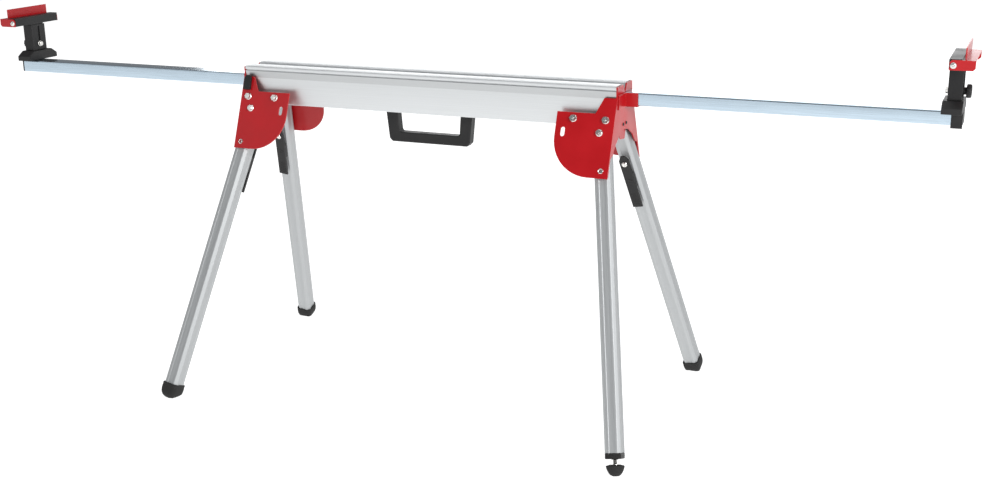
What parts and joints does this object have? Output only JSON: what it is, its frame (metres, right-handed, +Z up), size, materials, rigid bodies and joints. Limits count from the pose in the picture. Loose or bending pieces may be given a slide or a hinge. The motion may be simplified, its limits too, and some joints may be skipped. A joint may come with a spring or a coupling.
{
  "type": "folding mitre saw stand",
  "caption": "Folding work stand: a grooved aluminium beam on splayed tubular legs, with pull-out arms that end in height-adjustable work supports and flip stops.",
  "frame": {"origin": "on the floor under the middle of the beam", "axes": "+X along the beam to the right, +Y to the rear, +Z up"},
  "size_m": [2.582, 0.735, 0.964],
  "materials": {
    "aluminium": "satin extruded",
    "zinc_plate": "zinc plated",
    "bright_zinc": "bright zinc plated",
    "red_powder": "gloss powder coat",
    "black_steel": "satin powder coat",
    "black_plastic": "fine moulded grain",
    "rubber": "matt moulded"
  },
  "bodies": {
    "stand": {"beam": "aluminium", "carry_handle": "black_plastic", "leg_bracket_front_left": "red_powder", "bracket_mount_front_left": "bright_zinc", "leg_pivot_bolt_front_left": "bright_zinc", "leg_bracket_front_right": "red_powder", "bracket_mount_front_right": "bright_zinc", "leg_pivot_bolt_front_right": "bright_zinc", "leg_bracket_rear_left": "red_powder", "bracket_mount_rear_left": "bright_zinc", "leg_pivot_bolt_rear_left": "bright_zinc", "leg_bracket_rear_right": "red_powder", "bracket_mount_rear_right": "bright_zinc", "leg_pivot_bolt_rear_right": "bright_zinc", "arm_guide_left": "red_powder", "arm_guide_right": "red_powder"},
    "leg_front_left": {"leg_front_left": "aluminium", "lever_hinge_front_left": "black_steel", "foot_cap_front_left": "rubber"},
    "lock_lever_front_left": {"leg_lock_lever_front_left": "black_plastic"},
    "lock_pin_front_left": {"leg_lock_pin_front_left": "bright_zinc"},
    "leg_front_right": {"leg_front_right": "aluminium", "lever_hinge_front_right": "black_steel", "levelling_collar": "black_plastic"},
    "lock_lever_front_right": {"leg_lock_lever_front_right": "black_plastic"},
    "lock_pin_front_right": {"leg_lock_pin_front_right": "bright_zinc"},
    "leg_rear_left": {"leg_rear_left": "aluminium", "lever_hinge_rear_left": "black_steel", "foot_cap_rear_left": "rubber"},
    "lock_lever_rear_left": {"leg_lock_lever_rear_left": "black_plastic"},
    "lock_pin_rear_left": {"leg_lock_pin_rear_left": "bright_zinc"},
    "leg_rear_right": {"leg_rear_right": "aluminium", "lever_hinge_rear_right": "black_steel", "foot_cap_rear_right": "rubber"},
    "lock_lever_rear_right": {"leg_lock_lever_rear_right": "black_plastic"},
    "lock_pin_rear_right": {"leg_lock_pin_rear_right": "bright_zinc"},
    "levelling_pad": {"levelling_pad": "rubber"},
    "levelling_screw": {"levelling_screw": "bright_zinc"},
    "arm_left": {"extension_arm_left": "zinc_plate", "arm_glide_left": "black_plastic", "support_base_left": "black_plastic", "support_upright_left": "black_steel"},
    "support_left": {"support_post_left": "black_steel", "stop_pivot_bolt_left": "bright_zinc", "height_clamp_bolt_left": "bright_zinc"},
    "stop_left": {"flip_stop_left": "red_powder"},
    "knob_left": {"height_knob_left": "black_plastic"},
    "arm_lock_left": {"arm_lock_lever_left": "black_plastic"},
    "arm_right": {"extension_arm_right": "zinc_plate", "arm_glide_right": "black_plastic", "support_base_right": "black_plastic", "support_upright_right": "black_steel"},
    "support_right": {"support_post_right": "black_steel", "stop_pivot_bolt_right": "bright_zinc", "height_clamp_bolt_right": "bright_zinc"},
    "stop_right": {"flip_stop_right": "red_powder"},
    "knob_right": {"height_knob_right": "black_plastic"},
    "arm_lock_right": {"arm_lock_lever_right": "black_plastic"}
  },
  "joints": [
    {"name": "leg_fold_front_left", "type": "hinge", "parent": "stand", "child": "leg_front_left", "pos_m": [-0.48, -0.06316, 0.72373], "axis": [0, -0.9298, 0.3681], "range_deg": [0, 81.5]},
    {"name": "lock_lever_turn_front_left", "type": "hinge", "parent": "leg_front_left", "child": "lock_lever_front_left", "pos_m": [-0.50441, -0.08853, 0.58332], "axis": [-0.9851, 0.0633, 0.1599], "range_deg": [-6.5, 0]},
    {"name": "lock_pin_slide_front_left", "type": "slide", "parent": "leg_front_left", "child": "lock_pin_front_left", "axis": [0, 0.9298, -0.3681], "range_m": [-0.006, 0]},
    {"name": "leg_fold_front_right", "type": "hinge", "parent": "stand", "child": "leg_front_right", "pos_m": [0.48, -0.06316, 0.72373], "axis": [0, 0.9298, -0.3681], "range_deg": [0, 99.5]},
    {"name": "lock_lever_turn_front_right", "type": "hinge", "parent": "leg_front_right", "child": "lock_lever_front_right", "pos_m": [0.50441, -0.08853, 0.58332], "axis": [-0.9851, -0.0633, -0.1599], "range_deg": [-6.5, 0]},
    {"name": "lock_pin_slide_front_right", "type": "slide", "parent": "leg_front_right", "child": "lock_pin_front_right", "axis": [0, 0.9298, -0.3681], "range_m": [-0.006, 0]},
    {"name": "leg_fold_rear_left", "type": "hinge", "parent": "stand", "child": "leg_rear_left", "pos_m": [-0.48, 0.06316, 0.72373], "axis": [0, -0.9298, -0.3681], "range_deg": [0, 81.5]},
    {"name": "lock_lever_turn_rear_left", "type": "hinge", "parent": "leg_rear_left", "child": "lock_lever_rear_left", "pos_m": [-0.50441, 0.08853, 0.58332], "axis": [0.9851, 0.0633, -0.1599], "range_deg": [-6.5, 0]},
    {"name": "lock_pin_slide_rear_left", "type": "slide", "parent": "leg_rear_left", "child": "lock_pin_rear_left", "axis": [0, -0.9298, -0.3681], "range_m": [-0.006, 0]},
    {"name": "leg_fold_rear_right", "type": "hinge", "parent": "stand", "child": "leg_rear_right", "pos_m": [0.48, 0.06316, 0.72373], "axis": [0, 0.9298, 0.3681], "range_deg": [0, 99.5]},
    {"name": "lock_lever_turn_rear_right", "type": "hinge", "parent": "leg_rear_right", "child": "lock_lever_rear_right", "pos_m": [0.50441, 0.08853, 0.58332], "axis": [0.9851, -0.0633, 0.1599], "range_deg": [-6.5, 0]},
    {"name": "lock_pin_slide_rear_right", "type": "slide", "parent": "leg_rear_right", "child": "lock_pin_rear_right", "axis": [0, -0.9298, -0.3681], "range_m": [-0.006, 0]},
    {"name": "levelling_foot_slide", "type": "slide", "parent": "leg_front_right", "child": "levelling_pad", "axis": [-0.1719, 0.3626, 0.9159], "range_m": [-0.012, 0.01]},
    {"name": "levelling_screw_turn", "type": "hinge", "parent": "levelling_pad", "child": "levelling_screw", "pos_m": [0.60895, -0.33514, 0.03678], "axis": [-0.1719, 0.3626, 0.9159], "range_deg": [-2200, 1840]},
    {"name": "arm_slide_left", "type": "slide", "parent": "stand", "child": "arm_left", "axis": [1, 0, 0], "range_m": [0, 0.68]},
    {"name": "support_height_left", "type": "slide", "parent": "arm_left", "child": "support_left", "axis": [0, 0, 1], "range_m": [0, 0.045]},
    {"name": "stop_flip_left", "type": "hinge", "parent": "support_left", "child": "stop_left", "pos_m": [-1.247, -0.01, 0.927], "axis": [0, -1, 0], "range_deg": [0, 50]},
    {"name": "knob_turn_left", "type": "hinge", "parent": "support_left", "child": "knob_left", "pos_m": [-1.2723, -0.01, 0.861], "axis": [-1, 0, 0], "continuous": true},
    {"name": "arm_lock_turn_left", "type": "hinge", "parent": "stand", "child": "arm_lock_left", "pos_m": [-0.498, -0.06112, 0.80466], "axis": [0, 0.9298, -0.3681], "range_deg": [0, 85]},
    {"name": "arm_slide_right", "type": "slide", "parent": "stand", "child": "arm_right", "axis": [-1, 0, 0], "range_m": [0, 0.68]},
    {"name": "support_height_right", "type": "slide", "parent": "arm_right", "child": "support_right", "axis": [0, 0, 1], "range_m": [0, 0.045]},
    {"name": "stop_flip_right", "type": "hinge", "parent": "support_right", "child": "stop_right", "pos_m": [1.247, 0.01, 0.927], "axis": [0, 1, 0], "range_deg": [0, 50]},
    {"name": "knob_turn_right", "type": "hinge", "parent": "support_right", "child": "knob_right", "pos_m": [1.2723, 0.01, 0.861], "axis": [1, 0, 0], "continuous": true},
    {"name": "arm_lock_turn_right", "type": "hinge", "parent": "stand", "child": "arm_lock_right", "pos_m": [0.498, 0.06112, 0.80466], "axis": [0, -0.9298, -0.3681], "range_deg": [0, 85]}
  ],
  "couplings": [
    {"joint": "lock_pin_slide_front_left", "follows": "lock_lever_turn_front_left", "m_per_rad": 0.051},
    {"joint": "lock_pin_slide_front_right", "follows": "lock_lever_turn_front_right", "m_per_rad": 0.051},
    {"joint": "lock_pin_slide_rear_left", "follows": "lock_lever_turn_rear_left", "m_per_rad": 0.051},
    {"joint": "lock_pin_slide_rear_right", "follows": "lock_lever_turn_rear_right", "m_per_rad": 0.051},
    {"joint": "levelling_screw_turn", "follows": "levelling_foot_slide", "rad_per_m": 3141.6}
  ]
}
